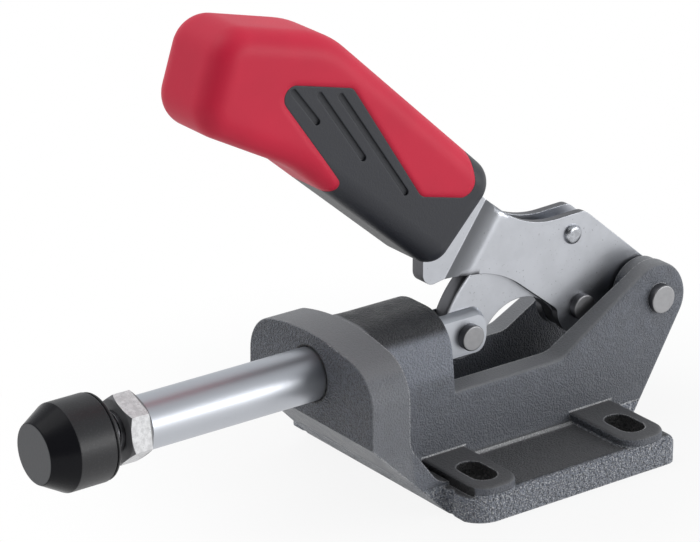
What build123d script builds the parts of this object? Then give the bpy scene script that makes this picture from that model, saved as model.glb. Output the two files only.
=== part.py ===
from build123d import *
from math import asin, atan2, cos, degrees, hypot, radians, sin, sqrt, tan
import os

# Push-pull toggle clamp, closed. Millimetres. X is the push direction, Z is up, and Y = 0 is the
# mid-plane. The origin is on the base's underside, in the middle of its four slots.

# ---------------------------------------------------------------- driving dimensions
AXIS_HEIGHT = 38.0          # plunger axis above the base's underside
PLUNGER_D = 16.0
THREAD_D = 12.0             # M12 pressure screw and its lock nut
NUT_ACROSS_FLATS = 18.0
PIN_D = 8.0                 # link pivot and plunger pin
BASE_PIN_D = 9.0            # base pivot
SLOT_PITCH_X = 56.0         # between the front and rear slots
SLOT_PITCH_Y = 70.0         # across the foot
SLOT_WIDTH = 8.6            # for M8 bolts
SLOT_LENGTH = 14.0
PLATE_T = 2.5               # stamped handle plates
LINK_T = 5.0

# ---------------------------------------------------------------- fits
RUN = 0.05                  # radial clearance of a turning joint
SLIDE = 0.10                # radial clearance of the plunger in its bore
SIDE = 0.10                 # side clearance between neighbours that turn

# ---------------------------------------------------------------- linkage
CRANK = 22.0                # base pivot to link pivot, on the handle
LINK = 43.0                 # link pivot to plunger pin
OVER_CENTRE = 0.8           # the link pivot lies this far past the line of the outer pivots
PLUNGER_PIN_X = 8.0

LINK_PIVOT = (PLUNGER_PIN_X - sqrt(LINK**2 - OVER_CENTRE**2), AXIS_HEIGHT - OVER_CENTRE)
BASE_PIVOT = (LINK_PIVOT[0] - sqrt(CRANK**2 - OVER_CENTRE**2), AXIS_HEIGHT)
PLUNGER_PIN = (PLUNGER_PIN_X, AXIS_HEIGHT)
LINK_TILT = degrees(atan2(OVER_CENTRE, PLUNGER_PIN_X - LINK_PIVOT[0]))

# ---------------------------------------------------------------- base casting
FOOT_FRONT_X = 38.5
FOOT_REAR_X = -39.2
FOOT_Y = 94.0
FOOT_T = 8.0
FOOT_CORNER_R = 9.0         # front corners
FOOT_REAR_R = 4.0           # rear corners
FOOT_RIM_R = 2.0
LUG_T = 3.0                 # slot lugs above the foot
LUG_W = 16.5
LUG_INSET = 0.3             # lug ends, in from the foot's edge
LUG_CORNER_R = 6.5
LUG_RIM_R = 1.2
WALL_Y_AT_FLOOR = 20.7      # half-width over the walls, at the underside
WALL_DRAFT = 6.5            # degrees
BAY_Y = 10.0                # half-width between the cheeks
BAY_CORNER_R = 3.0          # bay walls into its floor
SILL_Z = 28.0
KNEE_X = -18.0              # where the sill turns up to the ears
KNEE_R = 8.0
EAR_R = 10.5
EAR_TOE_X = -42.6           # rear edge of the ears, at the underside
EAR_BOSS_R = 10.1           # bosses round the base pivot, inside the ears
EAR_BOSS_Y = 6.0            # inner faces of those bosses
BARREL_END_X = 22.0
BARREL_RISE = 12.8          # crown of the barrel above the axis
BARREL_SHOULDER_R = 13.0
BARREL_RIM_R = 1.0
BARREL_STEP = 0.03          # how far the barrel's sides stand out from the walls below
NOSE_X = 62.0               # front face of the front plate
NOSE_T = 13.4
NOSE_Y = 30.0
NOSE_SHOULDER_Z = 46.0      # corners of the front plate before they are rounded
NOSE_APEX_Z = 53.45
NOSE_RIM_R = 0.6
NOSE_CROWN_R = 82.0
NOSE_SHOULDER_R = 13.0
NOSE_WAIST_R = 18.0
NOSE_WAIST_Z = 20.0
NOSE_WAIST_Y = 30.3
NOSE_FLARE_Y = 34.5         # the plate's half-width where it runs into the foot
NOTCH_R = 2.0               # upright notches between that flare and the foot's corners
NOSE_CHIN_Z = 24.3          # lower edge of the front face, where the undercut starts
NOSE_BLEND_R = 7.0          # barrel and walls into the back of the front plate
BLEND_TOP_SHARE = 0.35      # how much of that flare is left at the barrel's crown
WALL_BLEND_R = 2.5          # walls into the foot
WALL_ROOT_Z = 20.0          # top of the ribs that carry this blend
CRADLE_X = (30.0, 40.0)     # where the flare under the front plate leaves the foot
CRADLE_R = 8.0              # that flare into the plate's upright back
RIM_R = 1.6                 # rounded casting edges

BLEND_X = NOSE_X - NOSE_T - NOSE_BLEND_R    # where the barrel starts to flare
BORE_R = PLUNGER_D / 2 + SLIDE
MOUTH_CHAMFER = 0.3

# ---------------------------------------------------------------- plunger and its tip
PLUNGER_FRONT_X = 122.0
PLUNGER_RIM = 0.8           # chamfer round the front end
FORK_FLAT_Y = 5.4           # half-width over the milled flats
FORK_FLAT_LENGTH = 34.0
FORK_REAR = 7.0             # pin centre to the rear end
FORK_SLOT_DEPTH = 24.0      # pin centre to the slot's bottom
FORK_SLOT_W = LINK_T + 4 * SIDE
FORK_END_R = 4.0            # turned rear end
FORK_PIN_REACH = 8.0        # the plunger pin's ends, off the mid-plane
PIN_END_R = 0.5             # rounded edges of the riveted pin ends
PIN_STAND_OUT = 2.0         # base pivot pin beyond the ears
LINK_PIN_STAND_OUT = 2.4    # link pivot pin beyond the handle plates
THREAD_DEPTH = 20.0
NUT_T = 7.0
NUT_TURN = 39.0             # degrees, one corner above +Y
HEX_CHAMFER = (0.75, 1.3)   # along and across the axis
CAP_REAR_X = 134.7
CAP_SHOULDER_X = 147.8
CAP_FRONT_X = 155.2
CAP_R = 12.9
CAP_FACE_R = 8.8
CAP_RADII = (1.2, 1.6, 1.0)     # rounded rear rim, shoulder and front rim
HEAD_T = 7.5                # screw head inside the cap
HEAD_BACK_X = 139.5

# ---------------------------------------------------------------- link
LINK_EYE_R = 8.2
LINK_OUTER_DROP = 4.6       # centre of the outer arc below the line of the eyes
LINK_INNER_DROP = 8.6       # centre of the inner arc below it

# ---------------------------------------------------------------- grip
GRIP_SLOPE = 42.0           # degrees, the lower length of the grip
GRIP_MOUTH = (12.6, 75.9)   # middle of the grip's lower end
GRIP_HALF_T = 13.5
GRIP_EDGE_R = 7.0
GRIP_SKIN = 2.5             # red cover over the black core
GROOVE_W = 1.9
GROOVE_DEPTH = 0.8
GRIP_OUTLINE = [            # (x, z, corner radius), round from the upper end of the mouth
    (1.7, 88.0, 8), (24.6, 63.9, 6.5), (74.6, 106.5, 40),
    (107.7, 124.1, 10), (98.6, 152.4, 10), (61.4, 143.1, 30),
]
INLAY_OUTLINE = [           # side view of all that is black, run past the grip's outline
    (84.8, 134.2, 3.5), (56.6, 127.4, 3.0), (32.4, 89.8, 4.0), (12.6, 85.0, 4.5),
    (13.4, 106, 0), (-12, 106, 0), (-12, 50, 0), (72, 50, 0), (72, 96.5, 0), (58.0, 96.5, 3.0),
]
GROOVES = [((76.9, 130.3), (68.9, 120.0)), ((68.0, 127.6), (53.0, 106.0)), ((60.8, 125.8), (38.0, 92.4))]

# ---------------------------------------------------------------- handle plates
PLATE_GAP_Y = LINK_T / 2 + SIDE     # inner face of a plate beside the link
PLATE_REAR_R = 8.9                  # round the base pivot
PLATE_LINK_R = 8.7                  # round the link pivot
TANG_ABOVE = 10.9                   # tang edges, off the grip's centre line
TANG_BELOW = 9.5
TANG_LENGTH = 62.0
TANG_CORNER_R = 4.0
JOGGLE_AT = (14.7, 56.8)            # a point on the closed edge of the joggle
JOGGLE_ANGLE = 125.0                # degrees, direction of its bend lines
JOGGLE_LENGTH = 6.0
JOGGLE_SHIFT = 0.5                  # the outer bends lie this far nearer the grip
JOGGLE_OUTER_R = 3.4
JOGGLE_INNER_R = 1.0
STOP_AT = (-31.3, 61.1)             # riveted stop that limits the over-centre travel
STOP_RIVET_R = 1.9
RIVET_HEAD_R = 3.1
RIVET_HEAD_T = 1.3
TANG_RIVETS = {"front": 46.0, "rear": 14.0}     # distances into the grip
TANG_RIVET_R = 2.5
TANG_HEAD_R = 4.2
TANG_HEAD_T = 1.5
SPACER_R = 7.0
SLEEVE_R = 6.0

SIDES = {"left": 1, "right": -1}
BEYOND = 120.0                      # further than any part reaches, for cutting right through


# ---------------------------------------------------------------- helpers
def across(face, y_low, y_high):
    """Solid of a side profile between two planes of constant y."""
    return Pos(0, y_low, 0) * extrude(face, y_high - y_low, dir=(0, 1, 0))


def cross_pin(at, radius, y_low, y_high):
    """Cylinder along Y through the point at = (x, z)."""
    turned = Pos(at[0], (y_low + y_high) / 2, at[1]) * Rot(90, 0, 0)
    return turned * Cylinder(radius, y_high - y_low)


def along_x(radius, x_low, x_high):
    """Cylinder on the plunger axis."""
    return Pos((x_low + x_high) / 2, 0, AXIS_HEIGHT) * Rot(0, 90, 0) * Cylinder(radius, x_high - x_low)


def box(x, y, z):
    """Box from three (low, high) pairs."""
    size = [high - low for low, high in (x, y, z)]
    return Pos(x[0], y[0], z[0]) * Box(*size, align=Align.MIN)


def rounded(points, radii):
    """Side profile through points (x, z), each corner with its own radius."""
    return Plane.XZ * make_face(FilletPolyline(*points, radius=radii, close=True))


def end_section(points, radii, x_low, x_high):
    """Block along X from an outline of (y, z) points."""
    face = make_face(FilletPolyline(*points, radius=radii, close=True))
    return extrude(Plane.YZ.offset(x_low) * face, x_high - x_low)


def belt(*circles):
    """Closed side profile that wraps circles (x, z, r) counter-clockwise with tangent lines.

    A negative r wraps the circle on its other side, which gives a concave arc.
    """
    count = len(circles)
    leave = []
    arrive = []
    for k in range(count):
        x0, z0, r0 = circles[k]
        x1, z1, r1 = circles[(k + 1) % count]
        lean = (r1 - r0) / hypot(x1 - x0, z1 - z0)
        heading = atan2(z1 - z0, x1 - x0) - asin(max(-1.0, min(1.0, lean)))
        left = (-sin(heading), cos(heading))
        leave.append((x0 - r0 * left[0], z0 - r0 * left[1]))
        arrive.append((x1 - r1 * left[0], z1 - r1 * left[1]))
    edges = []
    for k in range(count):
        x, z, r = circles[k]
        start = arrive[k - 1]
        end = leave[k]
        angle = [degrees(atan2(point[1] - z, point[0] - x)) for point in (start, end)]
        if r < 0:
            angle = [a + 180 for a in angle]
        sweep = (angle[1] - angle[0]) % 360 if r > 0 else -((angle[0] - angle[1]) % 360)
        middle = radians(degrees(atan2(start[1] - z, start[0] - x)) + sweep / 2)
        through = (x + abs(r) * cos(middle), z + abs(r) * sin(middle))
        edges.append(ThreePointArc(start, through, end))
        line_end = arrive[k]
        if hypot(line_end[0] - end[0], line_end[1] - end[1]) > 0.001:
            edges.append(Line(end, line_end))
    return Plane.XZ * make_face(edges)


def along_grip(distance, above=0.0):
    """Point (x, z) at a distance into the grip and above its centre line."""
    c, s = cos(radians(GRIP_SLOPE)), sin(radians(GRIP_SLOPE))
    return (GRIP_MOUTH[0] + distance * c - above * s, GRIP_MOUTH[1] + distance * s + above * c)


# ---------------------------------------------------------------- base casting
def wall_y(z):
    """Half-width over the drafted walls at height z."""
    return WALL_Y_AT_FLOOR - z * tan(radians(WALL_DRAFT))


def foot():
    plate = box((FOOT_REAR_X, FOOT_FRONT_X), (-FOOT_Y / 2, FOOT_Y / 2), (0, FOOT_T))
    plate = fillet(plate.edges().filter_by(Axis.Z).group_by(Axis.X)[-1], FOOT_CORNER_R)
    plate = fillet(plate.edges().filter_by(Axis.Z).group_by(Axis.X)[0], FOOT_REAR_R)
    return fillet(plate.faces().sort_by(Axis.Z)[-1].edges(), FOOT_RIM_R)


def lug(x, side):
    """Raised pad round one slot, rounded at its outer end."""
    height = FOOT_T + LUG_T
    end = FOOT_Y / 2 - LUG_INSET
    inner = wall_y(height) - WALL_BLEND_R
    reach = sorted((side * inner, side * end))
    pad = box((x - LUG_W / 2, x + LUG_W / 2), reach, (0, height))
    outer = pad.edges().filter_by(Axis.Z).group_by(Axis.Y)[-1 if side > 0 else 0]
    pad = fillet(outer, LUG_CORNER_R)
    return fillet(pad.faces().sort_by(Axis.Z)[-1].edges(), LUG_RIM_R)


def ear_profile():
    """Side profile of the ears: a hull from the sill to the boss round the base pivot."""
    boss = Pos(*BASE_PIVOT) * Circle(EAR_R)
    outline = boss.edges() + Polyline(
        (KNEE_X, 0), (KNEE_X, SILL_Z), (EAR_TOE_X, 0), close=True
    ).edges()
    return make_hull(outline)


def walls():
    """Both cheeks and ears: a drafted block cut to the side profile, open between the cheeks."""
    top = AXIS_HEIGHT + 2 * EAR_R
    outline = [(-wall_y(0), 0), (-wall_y(top), top), (wall_y(top), top), (wall_y(0), 0)]
    block = end_section(outline, 0, -BEYOND, BLEND_X)
    profile = Pos(KNEE_X, 0) * Rectangle(BLEND_X - KNEE_X, SILL_Z, align=(Align.MIN, Align.MIN))
    profile += ear_profile()
    knee = profile.vertices().sort_by_distance((KNEE_X, SILL_Z))[0]
    block &= across(Plane.XZ * fillet(knee, KNEE_R), -BEYOND, BEYOND)
    outer = block.faces().filter_by(lambda f: abs(f.normal_at().Y) > 0.9).edges()
    block = fillet(outer.filter_by(lambda e: e.center().Z > 1 and e.center().X < BLEND_X - 1), RIM_R)
    return block - bay(top)


def bay(top):
    """The open room between the cheeks, up to a height."""
    outline = [(-BAY_Y, FOOT_T), (BAY_Y, FOOT_T), (BAY_Y, top), (-BAY_Y, top)]
    return end_section(outline, [BAY_CORNER_R, BAY_CORNER_R, 0, 0], -BEYOND, BARREL_END_X)


def wall_root():
    """Foot-level rib whose concave sides carry the walls down into the foot."""
    foot_y = wall_y(FOOT_T) + 2 * WALL_BLEND_R
    right = [(foot_y, FOOT_T / 4), (foot_y, FOOT_T), (wall_y(FOOT_T), FOOT_T)]
    right.append((wall_y(WALL_ROOT_Z), WALL_ROOT_Z))
    left = [(-y, z) for y, z in reversed(right)]
    radii = [0, 0, WALL_BLEND_R, 0]
    rib = end_section(right + left, radii + radii[::-1], FOOT_REAR_X, BLEND_X)
    return rib - bay(SILL_Z)


def barrel_outline(swell):
    """Drafted sides and an arched top, grown outwards by swell and less so near the top."""
    top = AXIS_HEIGHT + BARREL_RISE
    low_y = wall_y(0) + BARREL_STEP + swell
    high_y = wall_y(top) + BARREL_STEP + BLEND_TOP_SHARE * swell
    points = [(-low_y, 0), (-high_y, top), (high_y, top), (low_y, 0)]
    shoulder = BARREL_SHOULDER_R + swell / 2
    return points, [0, shoulder, shoulder, 0]


def barrel():
    points, radii = barrel_outline(0)
    block = end_section(points, radii, BARREL_END_X, NOSE_X - 5)
    rear = block.edges().group_by(Axis.X)[0].filter_by(lambda e: e.center().Z > 5)
    return fillet(rear, BARREL_RIM_R)


def barrel_blend():
    """Concave flare that carries the barrel's sides out into the back of the front plate."""
    sections = []
    for share in (0.0, 0.45, 0.75, 0.92, 1.0):
        swell = NOSE_BLEND_R * (1 - sqrt(1 - (0.995 * share) ** 2))
        points, radii = barrel_outline(swell)
        face = make_face(FilletPolyline(*points, radius=radii, close=True))
        sections.append(Plane.YZ.offset(BLEND_X + NOSE_BLEND_R * share) * face)
    return loft(sections)


def front_plate():
    """Flange with a flattened arch, flared at its foot and undercut at 45 degrees."""
    right = [(NOSE_Y, NOSE_SHOULDER_Z), (NOSE_WAIST_Y, NOSE_WAIST_Z), (NOSE_FLARE_Y, 0)]
    left = [(-y, z) for y, z in reversed(right)]
    radii = [NOSE_SHOULDER_R, NOSE_WAIST_R, 0]
    arch = end_section(
        left + [(0, NOSE_APEX_Z)] + right, radii[::-1] + [NOSE_CROWN_R] + radii, 0, NOSE_X
    )
    rim = arch.edges().group_by(Axis.X)[-1].filter_by(lambda e: e.center().Z > 1)
    arch = fillet(rim, NOSE_RIM_R)
    back_x = NOSE_X - NOSE_T
    chin_x = NOSE_X - NOSE_CHIN_Z
    low_x, high_x = CRADLE_X
    profile = rounded(
        [(NOSE_X, BEYOND), (NOSE_X, NOSE_CHIN_Z), (chin_x, 0), (low_x, 0), (low_x, FOOT_T),
         (high_x, FOOT_T + RIM_R), (back_x, 2 * FOOT_T + 6), (back_x, BEYOND)],
        [0, NOSE_RIM_R, 0, 0, 0, CRADLE_R - 2, CRADLE_R, 0],
    )
    return arch & across(profile, -BEYOND, BEYOND)


def ear_boss(side):
    """Boss that carries the base pivot pin in from one ear towards the handle plates."""
    return cross_pin(BASE_PIVOT, EAR_BOSS_R, *sorted((side * EAR_BOSS_Y, side * (BAY_Y + 2))))


def slot(x, side):
    """Bolt slot through a lug, running across the foot."""
    hole = Pos(x, side * SLOT_PITCH_Y / 2) * Rot(0, 0, 90) * SlotOverall(SLOT_LENGTH, SLOT_WIDTH)
    return Pos(0, 0, -1) * extrude(hole, 2 * (FOOT_T + LUG_T), dir=(0, 0, 1))


def undercut():
    """Everything in front of the 45 degree slope that runs from the underside up to the chin."""
    low_x = NOSE_X - NOSE_CHIN_Z
    corners = [(low_x - 1, -1), (BEYOND, -1), (BEYOND, BEYOND - low_x)]
    return across(Plane.XZ * make_face(Polyline(*corners, close=True)), -BEYOND, BEYOND)


def flare_notch(side):
    """Upright notch between the front plate's flare and the foot's corner."""
    centre_x = FOOT_FRONT_X + 0.4 * NOTCH_R
    centre_y = NOSE_FLARE_Y + 0.7 * NOTCH_R
    return Pos(centre_x, side * centre_y, FOOT_T) * Cylinder(NOTCH_R, 2 * FOOT_T + 2)


def base_casting():
    casting = foot() + walls() + wall_root() + barrel() + barrel_blend() + front_plate() - undercut()
    for x in (-SLOT_PITCH_X / 2, SLOT_PITCH_X / 2):
        for side in SIDES.values():
            casting = casting + lug(x, side) - slot(x, side)
    for side in SIDES.values():
        casting = casting + ear_boss(side) - flare_notch(side)
    casting -= along_x(BORE_R, BARREL_END_X - 1, NOSE_X + 1)
    casting -= cross_pin(BASE_PIVOT, BASE_PIN_D / 2, -BEYOND, BEYOND)
    flare = 2 * MOUTH_CHAMFER
    return casting - Pos(NOSE_X, 0, AXIS_HEIGHT) * Rot(0, 90, 0) * Cone(BORE_R, BORE_R + flare, flare)


# ---------------------------------------------------------------- pins and spacers
def riveted_pin(at, diameter, reach):
    """Pivot pin with its ends set flat and slightly rounded."""
    pin = cross_pin(at, diameter / 2, -reach, reach)
    return fillet(pin.edges().filter_by(GeomType.CIRCLE), PIN_END_R)


def base_pivot_pin():
    return riveted_pin(BASE_PIVOT, BASE_PIN_D, wall_y(AXIS_HEIGHT) + PIN_STAND_OUT)


def link_pivot_pin():
    return riveted_pin(LINK_PIVOT, PIN_D, PLATE_GAP_Y + PLATE_T + LINK_PIN_STAND_OUT)


def plunger_pin():
    """The fork's pin, left open where the link passes so that the linkage is a tree."""
    gap = cross_pin(PLUNGER_PIN, PIN_D, -FORK_SLOT_W / 2, FORK_SLOT_W / 2)
    return riveted_pin(PLUNGER_PIN, PIN_D, FORK_PIN_REACH) - gap


def pivot_spacer(side):
    """Washer between a handle plate and the boss beside it."""
    reach = sorted((side * (PLATE_GAP_Y + PLATE_T + SIDE), side * EAR_BOSS_Y))
    return cross_pin(BASE_PIVOT, SPACER_R, *reach) - cross_pin(BASE_PIVOT, BASE_PIN_D / 2, *reach)


def pivot_sleeve():
    """Sleeve on the base pivot that keeps the two handle plates apart."""
    sleeve = cross_pin(BASE_PIVOT, SLEEVE_R, -PLATE_GAP_Y, PLATE_GAP_Y)
    return sleeve - cross_pin(BASE_PIVOT, BASE_PIN_D / 2 + RUN, -PLATE_GAP_Y, PLATE_GAP_Y)


# ---------------------------------------------------------------- plunger and its tip
def hexagon(x_low, x_high):
    """Hexagon prism on the plunger axis, with its corners turned off."""
    corner_r = NUT_ACROSS_FLATS / sqrt(3)
    length = x_high - x_low
    outline = Pos(0, AXIS_HEIGHT) * Rot(0, 0, NUT_TURN) * RegularPolygon(corner_r, 6)
    prism = extrude(Plane.YZ.offset(x_low) * outline, length)
    turned = along_x(corner_r, x_low, x_high)
    turned = chamfer(turned.edges().filter_by(GeomType.CIRCLE), *HEX_CHAMFER)
    return prism & turned


def plunger():
    rear_x = PLUNGER_PIN_X - FORK_REAR
    flat_end_x = rear_x + FORK_FLAT_LENGTH
    rod = along_x(PLUNGER_D / 2, rear_x, PLUNGER_FRONT_X)
    rod = chamfer(rod.edges().group_by(Axis.X)[-1], PLUNGER_RIM)
    rod = fillet(rod.edges().group_by(Axis.X)[0], FORK_END_R)
    full_height = (AXIS_HEIGHT - PLUNGER_D, AXIS_HEIGHT + PLUNGER_D)
    for side in SIDES.values():
        beyond_flat = sorted((side * FORK_FLAT_Y, side * PLUNGER_D))
        rod -= box((rear_x - 1, flat_end_x), beyond_flat, full_height)
    slot_width = (-FORK_SLOT_W / 2, FORK_SLOT_W / 2)
    rod -= box((rear_x - 1, PLUNGER_PIN_X + FORK_SLOT_DEPTH), slot_width, full_height)
    rod -= cross_pin(PLUNGER_PIN, PIN_D / 2, -PLUNGER_D, PLUNGER_D)
    return rod - along_x(THREAD_D / 2, PLUNGER_FRONT_X - THREAD_DEPTH, PLUNGER_FRONT_X + 1)


def pressure_screw():
    shank = along_x(THREAD_D / 2, PLUNGER_FRONT_X - THREAD_DEPTH, HEAD_BACK_X)
    return shank + hexagon(HEAD_BACK_X, HEAD_BACK_X + HEAD_T)


def lock_nut():
    nut = hexagon(PLUNGER_FRONT_X, PLUNGER_FRONT_X + NUT_T)
    return nut - along_x(THREAD_D / 2, PLUNGER_FRONT_X - 1, PLUNGER_FRONT_X + NUT_T + 1)


def pressure_cap():
    """Rubber cap: a straight skirt, a coned front and a flat face, closed round the screw head."""
    profile = FilletPolyline(
        (CAP_REAR_X, 0), (CAP_REAR_X, CAP_R), (CAP_SHOULDER_X, CAP_R), (CAP_FRONT_X, CAP_FACE_R),
        (CAP_FRONT_X, 0), radius=list(CAP_RADII), close=False,
    )
    half = make_face([*profile.edges(), Line((CAP_FRONT_X, 0), (CAP_REAR_X, 0))])
    cap = Pos(0, 0, AXIS_HEIGHT) * revolve(Plane.XZ * half, Axis.X)
    return cap - pressure_screw()


# ---------------------------------------------------------------- link
def link_point(along, below=0.0):
    """Point (x, z) along the line of the link's eyes and below it."""
    c, s = cos(radians(LINK_TILT)), sin(radians(LINK_TILT))
    return (LINK_PIVOT[0] + along * c + below * s, LINK_PIVOT[1] + along * s - below * c)


def link_arc(drop, offset):
    """Circle (x, z, r) through both eyes' edges, with its centre below the line of the eyes."""
    return (*link_point(LINK / 2, drop), hypot(LINK / 2, drop) + offset)


def link():
    """Crescent that arches over the base pivot when the clamp is open."""
    outer = link_arc(LINK_OUTER_DROP, LINK_EYE_R)
    inner_x, inner_z, inner_r = link_arc(LINK_INNER_DROP, -LINK_EYE_R)
    profile = belt(
        (*PLUNGER_PIN, LINK_EYE_R), outer, (*LINK_PIVOT, LINK_EYE_R), (inner_x, inner_z, -inner_r)
    )
    plate = across(profile, -LINK_T / 2, LINK_T / 2)
    for eye in (LINK_PIVOT, PLUNGER_PIN):
        plate -= cross_pin(eye, PIN_D / 2 + RUN, -LINK_T, LINK_T)
    return plate


# ---------------------------------------------------------------- handle plates
def plate_profile():
    """Side view of a handle plate, from the base pivot round to the tang in the grip."""
    corner_x = TANG_LENGTH - TANG_CORNER_R
    tang_low = along_grip(corner_x, TANG_CORNER_R - TANG_BELOW)
    tang_high = along_grip(corner_x, TANG_ABOVE - TANG_CORNER_R)
    return belt(
        (*BASE_PIVOT, PLATE_REAR_R),
        (*LINK_PIVOT, PLATE_LINK_R),
        (-23.3, 36.5, -3.0),                # corner beside the link's eye
        (10.2, 22.2, -35.0),                # hollow lower edge over the link
        (19.2, 60.0, 3.8),                  # toe under the grip
        (26.0, 71.1, -3.0),                 # toe into the tang
        (*tang_low, TANG_CORNER_R),
        (*tang_high, TANG_CORNER_R),
        (-24.7, 99.2, -32.0),               # hollow upper edge
        (-34.4, 62.8, 4.7),                 # hump over the stop rivet
    )


def joggled_sheet(side):
    """Endless sheet of the plate's thickness: closed at the tang, set out beside the link."""
    closed = [(-BEYOND, 0), (0, 0), (JOGGLE_LENGTH, PLATE_GAP_Y), (BEYOND, PLATE_GAP_Y)]
    outside = [(x - JOGGLE_SHIFT, y + PLATE_T) for x, y in reversed(closed)]
    radii = [0, JOGGLE_OUTER_R, JOGGLE_INNER_R, 0]
    c, s = cos(radians(JOGGLE_ANGLE)), sin(radians(JOGGLE_ANGLE))
    section = Plane(origin=(JOGGLE_AT[0], 0, JOGGLE_AT[1]), x_dir=(-s, 0, c), z_dir=(c, 0, s))
    outline = [(x, y * side * section_sign(section)) for x, y in closed + outside]
    face = section * make_face(FilletPolyline(*outline, radius=2 * radii, close=True))
    return extrude(face, BEYOND, both=True)


def section_sign(section):
    """Whether a section plane's local y runs along +Y (1) or -Y (-1)."""
    return 1 if section.y_dir.Y > 0 else -1


def handle_plate(side):
    plate = across(plate_profile(), *sorted((0, side * BEYOND))) & joggled_sheet(side)
    plate -= cross_pin(BASE_PIVOT, BASE_PIN_D / 2 + RUN, -BEYOND, BEYOND)
    plate -= cross_pin(LINK_PIVOT, PIN_D / 2, -BEYOND, BEYOND)
    plate -= cross_pin(STOP_AT, STOP_RIVET_R, -BEYOND, BEYOND)
    for distance in TANG_RIVETS.values():
        plate -= cross_pin(along_grip(distance), TANG_RIVET_R, -BEYOND, BEYOND)
    return plate


def domed_head(at, y_face, side):
    """Rivet head on an outer plate face."""
    head = cross_pin(at, RIVET_HEAD_R, *sorted((y_face, y_face + side * RIVET_HEAD_T)))
    far = head.edges().filter_by(GeomType.CIRCLE).sort_by(Axis.Y)[-1 if side > 0 else 0]
    return fillet(far, 0.85 * RIVET_HEAD_T)


def stop_rivet():
    face_y = PLATE_GAP_Y + PLATE_T
    rivet = cross_pin(STOP_AT, STOP_RIVET_R, -face_y, face_y)
    for side in SIDES.values():
        rivet += domed_head(STOP_AT, side * face_y, side)
    return rivet


def stop_sleeve():
    """Spacer on the stop rivet; the link's outer edge rests on it when the clamp is closed."""
    x, z, r = link_arc(LINK_OUTER_DROP, LINK_EYE_R)
    radius = hypot(STOP_AT[0] - x, STOP_AT[1] - z) - r - SIDE
    sleeve = cross_pin(STOP_AT, radius, -PLATE_GAP_Y, PLATE_GAP_Y)
    return sleeve - cross_pin(STOP_AT, STOP_RIVET_R, -PLATE_GAP_Y, PLATE_GAP_Y)


def tang_rivet(distance):
    """Flat-headed rivet that closes the two plates inside the grip."""
    at = along_grip(distance)
    rivet = cross_pin(at, TANG_RIVET_R, -PLATE_T, PLATE_T)
    for side in SIDES.values():
        rivet += cross_pin(at, TANG_HEAD_R, *sorted((side * PLATE_T, side * (PLATE_T + TANG_HEAD_T))))
    return rivet


# ---------------------------------------------------------------- grip
def side_outline(corners):
    return rounded([corner[:2] for corner in corners], [corner[2] for corner in corners])


def grip_form(inset):
    """Rounded grip, shrunk on every side by inset."""
    face = side_outline(GRIP_OUTLINE)
    if inset:
        face = offset(face, -inset)
    half = GRIP_HALF_T - inset
    form = across(face, -half, half)
    rims = form.edges().filter_by(lambda e: abs(abs(e.center().Y) - half) < 0.01)
    return fillet(rims, GRIP_EDGE_R - inset)


def inlay_region():
    """Everything that shows black, through the full width of the grip."""
    return across(side_outline(INLAY_OUTLINE), -BEYOND, BEYOND)


def groove(ends, side):
    """Shallow round-ended groove in a side of the inlay."""
    (x0, z0), (x1, z1) = ends
    length = hypot(x1 - x0, z1 - z0)
    angle = degrees(atan2(z1 - z0, x1 - x0))
    middle = Pos((x0 + x1) / 2, (z0 + z1) / 2)
    shape = Plane.XZ * middle * Rot(0, 0, angle) * SlotCenterToCenter(length, GROOVE_W)
    return across(shape, *sorted((side * (GRIP_HALF_T - GROOVE_DEPTH), side * BEYOND)))


def grip_core():
    core = grip_form(GRIP_SKIN) + (grip_form(0) & inlay_region())
    for side in SIDES.values():
        core -= handle_plate(side)
        for ends in GROOVES:
            core -= groove(ends, side)
    for distance in TANG_RIVETS.values():
        core -= tang_rivet(distance)
    return core


def grip_cover():
    return grip_form(0) - grip_form(GRIP_SKIN) - inlay_region()


# ---------------------------------------------------------------- the parts
def all_parts():
    parts = {
        "base_casting": base_casting(),
        "base_pivot_pin": base_pivot_pin(),
        "plunger": plunger(),
        "plunger_pin": plunger_pin(),
        "pressure_screw": pressure_screw(),
        "lock_nut": lock_nut(),
        "pressure_cap": pressure_cap(),
        "link": link(),
        "link_pivot_pin": link_pivot_pin(),
        "pivot_sleeve": pivot_sleeve(),
        "stop_rivet": stop_rivet(),
        "stop_sleeve": stop_sleeve(),
        "grip_core": grip_core(),
        "grip_cover": grip_cover(),
    }
    for name, side in SIDES.items():
        parts["handle_plate_" + name] = handle_plate(side)
        parts["pivot_spacer_" + name] = pivot_spacer(side)
    for name, distance in TANG_RIVETS.items():
        parts["tang_rivet_" + name] = tang_rivet(distance)
    return parts


def main():
    os.makedirs("parts", exist_ok=True)
    for name, shape in all_parts().items():
        export_step(shape, os.path.join("parts", name + ".step"))


main()
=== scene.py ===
from math import cos, pi, radians, sin, tan

import bmesh
import bpy
from bpy.props import FloatProperty, FloatVectorProperty, IntProperty, PointerProperty
from mathutils import Matrix, Vector


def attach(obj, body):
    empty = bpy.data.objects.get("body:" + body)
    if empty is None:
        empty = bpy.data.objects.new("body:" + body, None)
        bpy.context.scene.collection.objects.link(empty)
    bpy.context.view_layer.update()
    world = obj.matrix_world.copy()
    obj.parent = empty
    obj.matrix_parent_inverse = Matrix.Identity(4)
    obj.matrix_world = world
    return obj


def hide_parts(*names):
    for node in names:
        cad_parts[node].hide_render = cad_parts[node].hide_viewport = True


bl_info = {
    "name": "Push-Pull Toggle Clamp",
    "version": (1, 0, 0),
    "blender": (4, 5, 0),
    "location": "3D View > Sidebar > Clamp",
    "description": "Dresses the clamp's solids: cast enamel, chrome, zinc, rubber and two-colour grip",
    "category": "Object",
}

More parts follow.
